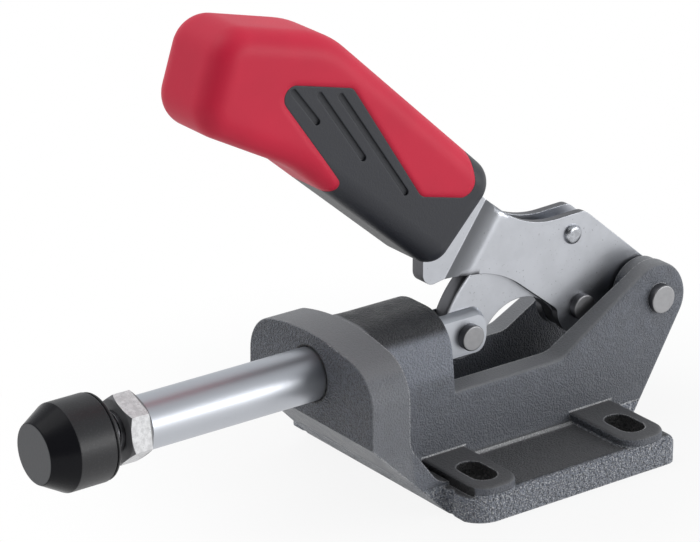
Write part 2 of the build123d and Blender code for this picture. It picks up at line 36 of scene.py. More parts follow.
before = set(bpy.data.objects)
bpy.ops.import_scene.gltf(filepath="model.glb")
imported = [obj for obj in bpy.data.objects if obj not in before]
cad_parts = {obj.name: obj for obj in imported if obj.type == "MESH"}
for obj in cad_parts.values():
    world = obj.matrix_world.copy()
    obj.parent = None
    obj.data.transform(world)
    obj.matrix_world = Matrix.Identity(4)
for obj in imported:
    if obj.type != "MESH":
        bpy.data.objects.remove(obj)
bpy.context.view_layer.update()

# The plunger's line and its bore, then the foot's slots: middle, half the straight part and end radius
AXIS_Z, BORE_R = 0.038, 0.0081
LUG_X, SLOT_Y, SLOT_HALF, SLOT_R = 0.028, 0.035, 0.0027, 0.0043


# ---------------------------------------------------------------- sizes and colours

def size_property(name, description, default, low=0.0, high=1.0):
    """A length in metres."""
    return FloatProperty(name=name, description=description, default=default, min=low, max=high,
                         precision=5, subtype="DISTANCE", unit="LENGTH")


def share_property(name, description, default, high=1.0):
    """A plain share, or a factor that may go over 1."""
    return FloatProperty(name=name, description=description, default=default, min=0.0, max=high,
                         subtype="FACTOR" if high == 1.0 else "NONE")


def colour_property(name, description, default):
    """A colour in Blender's own linear values."""
    return FloatVectorProperty(name=name, description=description, default=default, size=3,
                               min=0.0, max=1.0, subtype="COLOR")


class ClampCasting(bpy.types.PropertyGroup):
    paint: colour_property("Enamel", "Stoved enamel over the cast iron", (0.146, 0.157, 0.184))
    # This smooth enamel's lighter tone is partly painted light from above, on upward rims and lug tops
    smooth: colour_property("Smooth Enamel", "On the flange's rim and the walls' tops", (0.192, 0.196, 0.208))
    lug: colour_property("Lug Tops", "Darker enamel on the foot's and lugs' tops", (0.088, 0.089, 0.093))
    # The barrel-top colour is a painted shadow: dark colour laid along the barrel's top where the grip above
    # shades it
    painted_crown_shadow: colour_property("Crown", "Dark enamel along the barrel's top", (0.026, 0.027, 0.032))
    # This colour serves both wear, on rubbed lines and edges, and painted glints, the skin's bright specks,
    # most on the foot's sides
    wear_and_glint: colour_property("Worn Enamel", "Rubbed edges and bright flecks of the skin", (0.80, 0.80, 0.81))
    # The pits' colour, made darker still, also serves as painted shade in the slots, by the front lugs and
    # round the bore's mouth
    pits: colour_property("Pits", "Dirt in the skin's hollows and in corners", (0.030, 0.031, 0.034))
    grain: size_property("Grain", "Width of one dimple of the sand-cast skin", 0.00056, 0.0002, 0.01)
    depth: size_property("Grain Depth", "Height of the skin's dimples", 0.00022, 0.0, 0.001)
    roughness: share_property("Roughness", "Of the enamel between its dimples", 0.46)


class ClampShaft(bpy.types.PropertyGroup):
    chrome: colour_property("Chrome", "Hard chrome on the ground shaft", (0.53, 0.55, 0.59))
    roughness: share_property("Roughness", "Of the ground and plated shaft", 0.41)
    grinding: size_property("Grinding Pitch", "Spacing of the fine marks round it", 0.00022, 0.00005, 0.01)


class ClampSteel(bpy.types.PropertyGroup):
    plate: colour_property("Zinc Plate", "Zinc on the stamped plates and the link", (0.50, 0.515, 0.55))
    # This dark colour serves the sheared edges and the plates' specks, and also as painted shade on the nut's
    # ends, its rear ring and the thread, and as a painted dark reflection on the pins' sides
    cut: colour_property("Cut Edge", "Sheared edges, darker than the faces", (0.16, 0.16, 0.17))
    nut: colour_property("Forged Zinc", "Thick dull zinc on the nut", (0.80, 0.80, 0.81))
    pin: colour_property("Pin Steel", "Bare ends of the riveted pins", (0.34, 0.34, 0.35))
    roughness: share_property("Roughness", "Of the zinc", 0.33)
    rolling: size_property("Rolling Marks", "Spacing of the sheet's fine marks", 0.0004, 0.00005, 0.01)


class ClampScrew(bpy.types.PropertyGroup):
    start: size_property("Start", "Rear end of the screw, along the plunger's line", 0.1022, 0.0, 0.3)
    shank: size_property("Shank", "Length of the thread", 0.0373, 0.001, 0.2)
    pitch: size_property("Pitch", "Of the M12 thread", 0.00175, 0.0005, 0.005)
    major: size_property("Major Radius", "Over the thread's crests", 0.00597, 0.002, 0.02)
    depth: size_property("Thread Depth", "Crest to root", 0.00105, 0.0002, 0.003)
    head: size_property("Head", "Thickness of the hexagon head in the cap", 0.0075, 0.001, 0.03)
    across: size_property("Across Corners", "Of the hexagon head", 0.020785, 0.005, 0.05)
    turn: FloatProperty(name="Turn", description="Of the hexagon about the screw's line",
                        default=radians(39.0), subtype="ANGLE", unit="ROTATION")
    steps: IntProperty(name="Steps", description="Straight pieces in one turn of the thread", default=48,
                       min=12, max=128)


class ClampCap(bpy.types.PropertyGroup):
    rubber: colour_property("Rubber", "Black rubber of the cap", (0.009, 0.009, 0.011))
    face: colour_property("Pressure Face", "The flat front, rubbed grey", (0.052, 0.054, 0.060))
    rear: size_property("Rear", "Rear end, along the plunger's line", 0.1347, 0.0, 0.3)
    shoulder: size_property("Shoulder", "Where the skirt turns into the cone", 0.1478, 0.0, 0.3)
    front: size_property("Front", "The pressure face", 0.1552, 0.0, 0.3)
    radius: size_property("Skirt Radius", "Over the skirt", 0.0129, 0.001, 0.05)
    face_radius: size_property("Face Radius", "Over the cone's front end", 0.0088, 0.001, 0.05)
    mouth: size_property("Mouth Radius", "Of the hole the screw comes out of", 0.0062, 0.001, 0.05)
    lip: size_property("Lip", "Rounded edges of the cap", 0.0007, 0.0001, 0.003)
    bead: size_property("Bead", "Width of the rim behind the moulded groove", 0.0011, 0.0, 0.005)


class ClampGrip(bpy.types.PropertyGroup):
    red: colour_property("Red Shell", "Moulded red plastic", (0.70, 0.018, 0.058))
    black: colour_property("Black Core", "Grained black plastic", (0.021, 0.023, 0.031))
    grain: size_property("Grain", "Width of the moulded texture's grain", 0.0006, 0.0001, 0.01)


class ClampStage(bpy.types.PropertyGroup):
    azimuth: FloatProperty(name="Azimuth", description="Camera angle round the clamp",
                           default=radians(143.36), subtype="ANGLE", unit="ROTATION")
    elevation: FloatProperty(name="Elevation", description="Camera angle above the table",
                             default=radians(21.9), subtype="ANGLE", unit="ROTATION")
    roll: FloatProperty(name="Roll", description="Camera turn about its own line of sight",
                        default=radians(0.066), subtype="ANGLE", unit="ROTATION")
    place: FloatVectorProperty(name="Place", description="Where the camera stands", size=3,
                               default=(0.620791, 0.770683, 0.452482), subtype="TRANSLATION",
                               unit="LENGTH")
    lens: FloatProperty(name="Lens", description="Focal length, in millimetres", default=185.554, min=10)
    sensor: FloatProperty(name="Sensor", description="Width of the camera's film, in millimetres",
                          default=36.0, min=1)
    floor: size_property("Floor", "Half-width of the table", 3.0, 0.5, 20.0)
    sky: share_property("Room Light", "Strength of the room's light on the clamp", 0.85, 5.0)
    overhead: share_property("Overhead", "Brightness of the room above the clamp", 0.85)
    behind_camera: share_property("Camera Side", "Brightness of the room round the camera", 0.10)
    key: share_property("Key Light", "Power of the low lamp to the camera's right, in watts", 12.0, 500.0)
    top: share_property("Top Light", "Power of the wide lamp overhead, in watts", 6.0, 500.0)
    shadow: share_property("Shadow", "How much of the table's own shade shows near the clamp", 0.10)


# ---------------------------------------------------------------- shader building

def place(tree, kind, **sockets):
    """Adds a node and sets its sockets, spaces in their names written as underscores."""
    made = tree.nodes.new(kind)
    for name, value in sockets.items():
        made.inputs[name.replace("_", " ")].default_value = value
    return made


def feed(tree, socket, value):
    """Links value to a socket when it comes from a node, or else sets it."""
    if isinstance(value, bpy.types.NodeSocket):
        tree.links.new(value, socket)
    else:
        socket.default_value = value


def calc(tree, operation, first, second=0.0, clamp=False):
    """One step of arithmetic on two values."""
    step = tree.nodes.new("ShaderNodeMath")
    step.operation = operation
    step.use_clamp = clamp
    feed(tree, step.inputs[0], first)
    feed(tree, step.inputs[1], second)
    return step.outputs[0]


def product(tree, first, *others):
    """Several values multiplied together."""
    for other in others:
        first = calc(tree, "MULTIPLY", first, other)
    return first


def greatest(tree, first, *others):
    """The greatest of several values."""
    for other in others:
        first = calc(tree, "MAXIMUM", first, other)
    return first


def unsigned(tree, value):
    """A value without its sign."""
    return calc(tree, "ABSOLUTE", value)


def inverse(tree, mask):
    """1 where a mask is 0, and 0 where it is 1."""
    return calc(tree, "SUBTRACT", 1.0, mask)


def distance(tree, one, two):
    """How far a point with these two coordinates lies from 0."""
    return calc(tree, "SQRT", calc(tree, "ADD", product(tree, one, one), product(tree, two, two)))


def between(tree, value, zero_at, one_at):
    """0 at one value, 1 at the other and a soft step between, whichever is the greater."""
    step = tree.nodes.new("ShaderNodeMapRange")
    step.interpolation_type = "SMOOTHSTEP"
    feed(tree, step.inputs["Value"], value)
    feed(tree, step.inputs["From Min"], zero_at)
    feed(tree, step.inputs["From Max"], one_at)
    return step.outputs["Result"]


def band(tree, value, low, high, soft):
    """1 between low and high, with soft flanks."""
    rise = between(tree, value, low - soft, low)
    fall = between(tree, value, high + soft, high)
    return product(tree, rise, fall)


def lerp(tree, share, low, high):
    """A value that goes from low to high as share goes from 0 to 1."""
    step = tree.nodes.new("ShaderNodeMapRange")
    feed(tree, step.inputs["Value"], share)
    feed(tree, step.inputs["To Min"], low)
    feed(tree, step.inputs["To Max"], high)
    return step.outputs["Result"]


def tint(tree, share, base, top):
    """A colour that goes from base to top as share goes from 0 to 1."""
    mix = tree.nodes.new("ShaderNodeMix")
    mix.data_type = "RGBA"
    feed(tree, mix.inputs["Factor"], share)
    for socket, colour in ((mix.inputs["A"], base), (mix.inputs["B"], top)):
        feed(tree, socket, colour if isinstance(colour, bpy.types.NodeSocket) else (*colour, 1.0))
    return mix.outputs["Result"]


def coats(tree, colour, *layers):
    """A base colour with others laid over it in turn, each by its own mask."""
    for mask, over in layers:
        colour = tint(tree, mask, colour, over)
    return colour


def shade(colour, factor):
    """A set colour made darker or lighter."""
    return [part * factor for part in colour]


def axes(tree, vector):
    """The three numbers of a vector."""
    split = tree.nodes.new("ShaderNodeSeparateXYZ")
    tree.links.new(vector, split.inputs[0])
    return split.outputs["X"], split.outputs["Y"], split.outputs["Z"]


def here(tree):
    """The surface's own place, in metres."""
    return tree.nodes.new("ShaderNodeTexCoord").outputs["Object"]


def facing(tree):
    """The surface's own direction, as separate numbers."""
    return axes(tree, tree.nodes.new("ShaderNodeNewGeometry").outputs["Normal"])


def noise(tree, where, scale, detail=2.0, roughness=0.5):
    """Smooth noise, its scale in cells per metre."""
    cloud = place(tree, "ShaderNodeTexNoise", Detail=detail, Roughness=roughness)
    tree.links.new(where, cloud.inputs["Vector"])
    feed(tree, cloud.inputs["Scale"], scale)
    return cloud.outputs["Fac"]


def stretch(tree, where, factors, turn=(0, 0, 0)):
    """The place turned and stretched, for marks that run one way."""
    mapping = place(tree, "ShaderNodeMapping", Rotation=turn, Scale=factors)
    tree.links.new(where, mapping.inputs["Vector"])
    return mapping.outputs["Vector"]


def new_group(name, inputs, outputs):
    """An empty shader group that takes a place and numbers and gives numbers, with its sockets."""
    group = bpy.data.node_groups.new(name, "ShaderNodeTree")
    group.interface.new_socket(name="Place", in_out="INPUT", socket_type="NodeSocketVector")
    for label, default in inputs.items():
        socket = group.interface.new_socket(name=label, in_out="INPUT", socket_type="NodeSocketFloat")
        socket.default_value = default
    for label in outputs:
        group.interface.new_socket(name=label, in_out="OUTPUT", socket_type="NodeSocketFloat")
    return group, group.nodes.new("NodeGroupInput").outputs, group.nodes.new("NodeGroupOutput").inputs


def cast_skin_group(name):
    """Sand-cast skin under thick enamel: rounded dimples, fine grit and a slow unevenness."""
    group, given, result = new_group(name, {"Cells": 900.0, "Grit": 0.3},
                                     ("Height", "Mottle", "Pits", "Sparkle"))
    dimples = noise(group, given["Place"], given["Cells"], 1.0)
    grit = noise(group, given["Place"], product(group, given["Cells"], 2.7), 2.0, 0.6)
    swell = noise(group, given["Place"], product(group, given["Cells"], 0.14))
    gritty = product(group, calc(group, "SUBTRACT", grit, 0.5), given["Grit"])
    height = calc(group, "ADD", between(group, dimples, 0.34, 0.66), gritty)
    hollow = calc(group, "ADD", product(group, dimples, 0.6), product(group, grit, 0.4))
    group.links.new(calc(group, "ADD", height, product(group, swell, 1.5)), result["Height"])
    group.links.new(between(group, swell, 0.35, 0.65), result["Mottle"])
    group.links.new(between(group, hollow, 0.50, 0.38), result["Pits"])
    # Sparkle marks the grit's peaks, where the casting lays its painted glints
    group.links.new(between(group, grit, 0.53, 0.62), result["Sparkle"])
    return group


def edge_rub_group(name):
    """Where corners, outer and inner, have rubbed: a broken line beside each edge."""
    group, given, result = new_group(name, {"Width": 0.0006, "Cells": 900.0}, ("Rub",))
    bevel = group.nodes.new("ShaderNodeBevel")
    bevel.samples = 6
    group.links.new(given["Width"], bevel.inputs["Radius"])
    geometry = group.nodes.new("ShaderNodeNewGeometry")
    dot = group.nodes.new("ShaderNodeVectorMath")
    dot.operation = "DOT_PRODUCT"
    group.links.new(bevel.outputs["Normal"], dot.inputs[0])
    group.links.new(geometry.outputs["Normal"], dot.inputs[1])
    edge = between(group, dot.outputs["Value"], 0.995, 0.90)
    broken = between(group, noise(group, given["Place"], given["Cells"], 3.0, 0.6), 0.40, 0.58)
    group.links.new(product(group, edge, broken), result["Rub"])
    return group


def plate_marks_group(name):
    """Zinc on rolled sheet: soft lengthwise marks, a cloudy bloom and small dark specks."""
    group, given, result = new_group(name, {"Lines": 2500.0, "Bloom": 160.0}, ("Height", "Cloud", "Specks"))
    along = stretch(group, given["Place"], (0.05, 1.0, 1.0), (0, radians(42), 0))
    cloud = noise(group, given["Place"], given["Bloom"], 3.0, 0.6)
    specks = noise(group, given["Place"], product(group, given["Bloom"], 9.0), 1.0)
    group.links.new(noise(group, along, given["Lines"]), result["Height"])
    group.links.new(between(group, cloud, 0.3, 0.7), result["Cloud"])
    group.links.new(between(group, specks, 0.70, 0.78), result["Specks"])
    return group


def moulded_group(name):
    """Spark-eroded mould texture on plastic and rubber: fine even grain and slow tonal drift."""
    group, given, result = new_group(name, {"Cells": 1600.0}, ("Height", "Drift"))
    drift = noise(group, given["Place"], product(group, given["Cells"], 0.03))
    group.links.new(noise(group, given["Place"], given["Cells"], 2.0, 0.6), result["Height"])
    group.links.new(between(group, drift, 0.3, 0.7), result["Drift"])
    return group


GROUPS = {"Cast Skin": cast_skin_group, "Edge Rub": edge_rub_group, "Plate Marks": plate_marks_group,
          "Moulded Grain": moulded_group}


def use_group(tree, name, **sockets):
    """Places a shared group, built on its first use, with values or links for its inputs."""
    made = tree.nodes.new("ShaderNodeGroup")
    made.node_tree = bpy.data.node_groups.get(name) or GROUPS[name](name)
    for socket, value in sockets.items():
        feed(tree, made.inputs[socket], value)
    return made.outputs


def new_material(name, metallic=0.0, **sockets):
    """A material with its shader, and the shader's constants set on it."""
    material = bpy.data.materials.new(name)
    material.use_nodes = True
    tree = material.node_tree
    shader = tree.nodes["Principled BSDF"]
    shader.inputs["Metallic"].default_value = metallic
    for socket, value in sockets.items():
        shader.inputs[socket.replace("_", " ")].default_value = value
    return material, tree, shader


def surface(tree, shader, colour, roughness):
    """Links a colour and a roughness to the shader."""
    tree.links.new(colour, shader.inputs["Base Color"])
    tree.links.new(roughness, shader.inputs["Roughness"])


def bump(tree, shader, height, depth, rounding=None):
    """Feeds a height to the shader's normal, over edges broken by a small rounding if one is given."""
    node = place(tree, "ShaderNodeBump", Distance=depth)
    tree.links.new(height, node.inputs["Height"])
    if rounding is not None:
        edge = tree.nodes.new("ShaderNodeBevel")
        feed(tree, edge.inputs["Radius"], rounding)
        edge.samples = 8
        tree.links.new(edge.outputs["Normal"], node.inputs["Normal"])
    tree.links.new(node.outputs["Normal"], shader.inputs["Normal"])


def dress(nodes, material):
    """Gives CAD nodes their material."""
    for name in nodes:
        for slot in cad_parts[name].material_slots:
            slot.material = material


# ---------------------------------------------------------------- the casting

# Steps (0 at, 1 at) and bands (low, high, softness) along X, |Y| or Z, in metres. MOUTH_R and SLOT_WALL_R
# go by distance from the bore's and a slot's middle line, NEAR_LUG by distance from a lug's middle.
BARREL_X = (0.0225, 0.0470, 0.0010)
FLANGE_X = (0.0470, 0.0490)
# Where the barrel's top gets its painted shadow
CROWN_SHADOW_Z = (0.0446, 0.0472)
# Where the barrel's shoulder gets its painted highlight
SHOULDER_HIGHLIGHT_Z = (0.0360, 0.0446, 0.0045)
SILLS_Z = (0.024, 0.026)
# The walls behind the barrel get painted shade low down
LOW_WALL_SHADE_X, LOW_WALL_SHADE_Z = (0.0480, 0.0300), (0.034, 0.012)
WALL_Y = (0.0228, 0.0222)
FOOT_TOPS_Z = (0.0130, 0.0120)
FOOT_SIDES_Z, FOOT_BRINK_Y = (0.0088, 0.0083), (0.0436, 0.0450)
LUG_TOPS_Z = (0.0105, 0.0113, 0.0005)
JOINT_Z = (0.00810, 0.00850, 0.00012)
LEDGE_Z = (0.01100, 0.01145, 0.00010)
# Where painted shade is laid: the gap by the front lugs, the bore's mouth and the slots' walls
GAP_X, GAP_Z = (0.0355, 0.0375, 0.0003), (0.0080, 0.0104, 0.0004)
MOUTH_X, MOUTH_R = (0.0450, 0.0460), (BORE_R + 0.0009, BORE_R + 0.0005)
SLOT_Z, SLOT_WALL_R = (0.0111, 0.0104), (SLOT_R + 0.0003, SLOT_R + 0.0001)
NEAR_LUG = (0.00855, 0.00825)
# Steps by the part of the surface's direction that points one way
UPWARD, FORWARD, SOMEWHAT_FORWARD, UP_OR_DOWN = (0.45, 0.80), (0.80, 0.95), (0.2, 0.6), (0.55, 0.85)


def rubbed_lines(tree, where, upright, beside, sparkle):
    """Rubbed lines: the joint where the walls leave the foot, and the ledge round the lugs' tops."""
    _, y, z = where
    inside = between(tree, unsigned(tree, y), *WALL_Y)
    by_lug = between(tree, beside, *NEAR_LUG)
    joint = product(tree, band(tree, z, *JOINT_Z), inside, inverse(tree, by_lug))
    ledge = product(tree, band(tree, z, *LEDGE_Z), upright, by_lug, inside)
    return product(tree, greatest(tree, joint, ledge), lerp(tree, sparkle, 0.35, 1.0))


def painted_gap_shade(tree, where, across, beside):
    """Painted shade in the hollows and gaps: the slots' walls, the front lugs' front flanks and a ring round
    the bore.
    """
    x, y, z = where
    out = unsigned(tree, calc(tree, "SUBTRACT", unsigned(tree, y), SLOT_Y))
    beyond = greatest(tree, calc(tree, "SUBTRACT", out, SLOT_HALF), 0.0)
    slot = product(tree, between(tree, distance(tree, beyond, beside), *SLOT_WALL_R),
                   between(tree, z, *SLOT_Z))
    gap = product(tree, band(tree, x, *GAP_X), band(tree, z, *GAP_Z),
                  between(tree, across, *SOMEWHAT_FORWARD))
    from_axis = distance(tree, y, calc(tree, "SUBTRACT", z, AXIS_Z))
    mouth = product(tree, between(tree, from_axis, *MOUTH_R), between(tree, x, *MOUTH_X))
    return greatest(tree, slot, gap, mouth)


def casting_material(settings):
    """Grey hammered enamel, coarse on the foot's sides, smooth on rims and lugs, rubbed at its edges."""
    material, tree, shader = new_material("cast_enamel")
    where = here(tree)
    x, y, z = axes(tree, where)
    across, _, up = facing(tree)
    skin = use_group(tree, "Cast Skin", Place=where, Cells=1.0 / settings.grain, Grit=0.5)
    coarse = use_group(tree, "Cast Skin", Place=where, Cells=0.45 / settings.grain, Grit=1.3)
    rub = use_group(tree, "Edge Rub", Place=where, Width=0.0009, Cells=1.3 / settings.grain)
    # masks of its parts
    lifted = between(tree, up, *UPWARD)
    front = between(tree, across, *FORWARD)
    upright = inverse(tree, between(tree, unsigned(tree, up), *UP_OR_DOWN))
    beside = unsigned(tree, calc(tree, "SUBTRACT", unsigned(tree, x), LUG_X))
    barrel = band(tree, x, *BARREL_X)
    # painted shadow: dark colour along the barrel's top, where the grip above shades it
    painted_crown_shadow = product(tree, barrel, between(tree, z, *CROWN_SHADOW_Z))
    # painted highlight: a lighter band on the barrel's side just below its top
    shoulder = product(tree, barrel, band(tree, z, *SHOULDER_HIGHLIGHT_Z))
    flange = product(tree, between(tree, x, *FLANGE_X), inverse(tree, front))
    sills = product(tree, between(tree, z, *SILLS_Z), inverse(tree, barrel))
    smooth = product(tree, lifted, greatest(tree, sills, band(tree, z, *LUG_TOPS_Z)))
    calm = greatest(tree, smooth, product(tree, flange, 0.5))
    brink = between(tree, unsigned(tree, y), *FOOT_BRINK_Y)
    sides = product(tree, between(tree, z, *FOOT_SIDES_Z), greatest(tree, upright, brink))
    tops = product(tree, lifted, between(tree, z, *FOOT_TOPS_Z), inverse(tree, sides))
    # painted shade: the walls behind the barrel darker towards the foot
    low = product(tree, between(tree, z, *LOW_WALL_SHADE_Z), between(tree, x, *LOW_WALL_SHADE_X), upright)
    # colour: the enamel's tones, with painted shade low on the walls, a painted highlight on the barrel's
    # shoulder and a painted shadow along its top; pits and painted glints of its skin, rubbed lines and
    # edges; and painted shade in the slots, by the front lugs and round the bore's mouth
    pits = product(tree, skin["Pits"], lerp(tree, greatest(tree, front, sides), 0.26, 0.75),
                   lerp(tree, calm, 1.0, 0.3))
    # painted glints: bright specks of the skin in a light colour, coarse on the foot's sides
    painted_glints = lerp(tree, sides, product(tree, skin["Sparkle"], 0.05), coarse["Sparkle"])
    lines = rubbed_lines(tree, (x, y, z), upright, beside, skin["Sparkle"])
    colour = tint(tree, skin["Mottle"], shade(settings.paint, 0.90), shade(settings.paint, 1.08))
    colour = coats(tree, colour,
                   # painted shade low on the walls comes first
                   (low, shade(settings.paint, 0.74)), (sides, shade(settings.paint, 1.9)),
                   # smooth enamel on upward rims, its lighter tone partly painted light from above
                   (calm, settings.smooth), (tops, settings.lug),
                   # painted highlight on the barrel's shoulder, then painted shadow along its top
                   (shoulder, shade(settings.paint, 1.6)), (painted_crown_shadow, settings.painted_crown_shadow),
                   # pits of the skin, then its painted glints
                   (pits, settings.pits), (product(tree, painted_glints, 0.8), settings.wear_and_glint),
                   (greatest(tree, lines, product(tree, rub["Rub"], 0.50)), settings.wear_and_glint),
                   # painted shade in the slots, by the front lugs and round the bore's mouth
                   (painted_gap_shade(tree, (x, y, z), across, beside), shade(settings.pits, 0.4)))
    rough = lerp(tree, skin["Mottle"], settings.roughness - 0.05, settings.roughness + 0.05)
    surface(tree, shader, colour, lerp(tree, smooth, rough, settings.roughness + 0.06))
    relief = product(tree, skin["Height"], lerp(tree, front, 0.8, 2.6), lerp(tree, calm, 1.0, 0.3))
    bump(tree, shader, lerp(tree, sides, relief, product(tree, coarse["Height"], 3.6)), settings.depth)
    return material


# ---------------------------------------------------------------- metal, rubber and plastic

# Steps by the part of the surface's direction along X or Y
CHAMFER_SHADE, TURNED_END, PRESSURE_FACE, SKIRT = (0.3, 0.6), (0.45, 0.75), (0.90, 0.98), (0.35, 0.15)
SHEARED, RIVETED, JOGGLE_SHADE_FACING = (0.45, 0.15), (0.55, 0.93), (0.45, 0.93, 0.04)
# The handle plates' joggle: where it starts, the way on from there to their open part, and steps that way
JOGGLE_X, JOGGLE_Z, ALONG_X, ALONG_Z = 0.0147, 0.0568, -0.819, -0.574
SHADE_FADE_ALONG, CREST = (0.0056, 0.0004), (0.0034, 0.0080, 0.0010)
NUT_REAR_SHADE_X = (0.12275, 0.12245)


def shaft_material(settings):
    """Ground and chromed shaft, fine marks round it, its chamfered front end painted dark as shade and as the
    black cap's reflection.
    """
    material, tree, shader = new_material("hard_chrome", metallic=1.0)
    where = here(tree)
    rings = noise(tree, stretch(tree, where, (1.0, 0.02, 0.02)), 1.0 / settings.grinding, 1.0)
    bright = tint(tree, noise(tree, where, 90.0), shade(settings.chrome, 0.95), settings.chrome)
    # painted shade: the shaft's chamfered front end darkened, standing for shade and the black cap's
    # reflection
    dark_chamfer_shade = between(tree, facing(tree)[0], *CHAMFER_SHADE)
    surface(tree, shader, tint(tree, dark_chamfer_shade, bright, shade(settings.chrome, 0.15)),
            lerp(tree, rings, settings.roughness - 0.04, settings.roughness + 0.06))
    bump(tree, shader, rings, 0.000003)
    return material


def plate_material(settings):
    """Zinc-plated sheet: bright faces, darker sheared edges, and a painted dark reflection on the joggle's
    rounded sloping part.
    """
    material, tree, shader = new_material("zinc_sheet", metallic=1.0)
    where = here(tree)
    x, _, z = axes(tree, where)
    aside = unsigned(tree, facing(tree)[1])
    marks = use_group(tree, "Plate Marks", Place=where, Lines=1.0 / settings.rolling)
    sheared = between(tree, aside, *SHEARED)
    along = calc(tree, "ADD", product(tree, calc(tree, "SUBTRACT", x, JOGGLE_X), ALONG_X),
                 product(tree, calc(tree, "SUBTRACT", z, JOGGLE_Z), ALONG_Z))
    # painted dark reflection on the joggle's sloping part, strongest where it starts
    painted_slope_shade = product(tree, band(tree, aside, *JOGGLE_SHADE_FACING), between(tree, along, *SHADE_FADE_ALONG))
    colour = tint(tree, marks["Cloud"], shade(settings.plate, 0.93), settings.plate)
    colour = coats(tree, colour, (product(tree, marks["Specks"], 0.5), settings.cut),
                   (painted_slope_shade, shade(settings.plate, 0.46)), (sheared, settings.cut))
    rough = lerp(tree, marks["Height"], settings.roughness - 0.04, settings.roughness + 0.05)
    surface(tree, shader, colour, lerp(tree, sheared, rough, settings.roughness + 0.15))
    width = lerp(tree, band(tree, along, *CREST), 0.00025, 0.0026)
    bump(tree, shader, marks["Height"], 0.000012, rounding=width)
    return material


def zinc_material(settings, name, metal, roughness, relief, metallic=1.0, painted_end_shade=0.0, rounding=0.0003):
    """Zinc on turned and forged steel, dulled in patches; painted_end_shade lays painted shade on a nut's
    ends and rear ring.
    """
    material, tree, shader = new_material(name, metallic=metallic)
    where = here(tree)
    x, _, _ = axes(tree, where)
    cloud = noise(tree, where, 700.0, 3.0, 0.6)
    specks = noise(tree, where, 1900.0, 2.0, 0.6)
    # painted shade: a nut's ends and the ring at its rear darkened
    end = greatest(tree, between(tree, unsigned(tree, facing(tree)[0]), *TURNED_END),
                   between(tree, x, *NUT_REAR_SHADE_X))
    colour = tint(tree, between(tree, cloud, 0.35, 0.65), shade(metal, 0.78), metal)
    colour = coats(tree, colour, (between(tree, specks, 0.60, 0.70), shade(metal, 0.62)),
                   (product(tree, end, painted_end_shade), settings.cut))
    surface(tree, shader, colour, lerp(tree, cloud, roughness - 0.05, roughness + 0.08))
    bump(tree, shader, cloud, relief, rounding=rounding)
    return material


def pin_material(settings):
    """Pin steel, rubbed bright on the riveted ends, with a painted dark reflection round them."""
    material, tree, shader = new_material("pin_ends", metallic=1.0)
    cloud = noise(tree, here(tree), 600.0, 3.0, 0.6)
    end = between(tree, unsigned(tree, facing(tree)[1]), *RIVETED)
    face = tint(tree, cloud, shade(settings.pin, 0.8), shade(settings.pin, 1.1))
    # painted dark reflection: the pins' sides take the dark sheared-edge colour, their riveted ends their own
    surface(tree, shader, tint(tree, end, settings.cut, face), lerp(tree, cloud, 0.40, 0.54))
    bump(tree, shader, cloud, 0.00003)
    return material


def rubber_material(settings):
    """Black rubber with a dusty skirt, a clean dark cone and a grey, rubbed pressure face."""
    material, tree, shader = new_material("cap_rubber")
    where = here(tree)
    across, _, _ = facing(tree)
    grain = use_group(tree, "Moulded Grain", Place=where, Cells=1500.0)
    dust = between(tree, noise(tree, where, 2200.0, 3.0, 0.65), 0.50, 0.75)
    front = between(tree, across, *PRESSURE_FACE)
    skirt = between(tree, across, *SKIRT)
    dull = greatest(tree, skirt, front)
    colour = tint(tree, grain["Drift"], settings.rubber, shade(settings.rubber, 1.3))
    colour = coats(tree, colour, (product(tree, dust, lerp(tree, skirt, 0.02, 0.38)), settings.face),
                   (front, settings.face))
    surface(tree, shader, colour, lerp(tree, dull, 0.26, lerp(tree, grain["Height"], 0.36, 0.50)))
    tree.links.new(lerp(tree, dull, 0.10, 0.50), shader.inputs["Specular IOR Level"])
    bump(tree, shader, grain["Height"], 0.00003)
    return material


def plastic_material(settings, name, colour, depth, roughness, shine, rounding):
    """Moulded plastic of the grip: grain from the mould, a slow drift of tone."""
    material, tree, shader = new_material(name, Specular_IOR_Level=shine)
    grain = use_group(tree, "Moulded Grain", Place=here(tree), Cells=1.0 / settings.grain)
    surface(tree, shader, tint(tree, grain["Drift"], shade(colour, 0.93), colour),
            lerp(tree, grain["Height"], roughness - 0.05, roughness + 0.05))
    bump(tree, shader, grain["Height"], depth, rounding=rounding)
    return material


# ---------------------------------------------------------------- made pieces

# How far from its corner a guard point lies, in tangent lengths
GUARD = 1.5
# The thread's ridge, as shares of its pitch, and its core below the crests, as a share of its depth
RIDGE_FOOT, RIDGE_CREST, CORE_DEPTH = 0.86, 0.13, 0.96
# How deep the hole is that the screw comes out of
CAP_HOLE = 0.004


def add_object(name, data):
    """A new object at the origin that holds a mesh, a lamp or a camera."""
    made = bpy.data.objects.new(name, data)
    bpy.context.scene.collection.objects.link(made)
    return made


def eased(corners, steps=6):
    """Points along an outline with its corners (x, r, radius) rounded, and a guard point beside each arc."""
    points = []
    for k, (x, r, radius) in enumerate(corners):
        corner = Vector((x, r))
        if not radius:
            points.append(corner)
            continue
        before = (Vector(corners[k - 1][:2]) - corner).normalized()
        after = (Vector(corners[k + 1][:2]) - corner).normalized()
        half = before.angle(after) / 2
        tangent = radius / tan(half)
        centre = corner + (before + after).normalized() * (radius / sin(half))
        first = corner + before * tangent
        last = corner + after * tangent
        points.append(corner + before * tangent * GUARD)
        for step in range(steps + 1):
            spoke = (first - centre).lerp(last - centre, step / steps)
            points.append(centre + spoke.normalized() * radius)
        points.append(corner + after * tangent * GUARD)
    return points


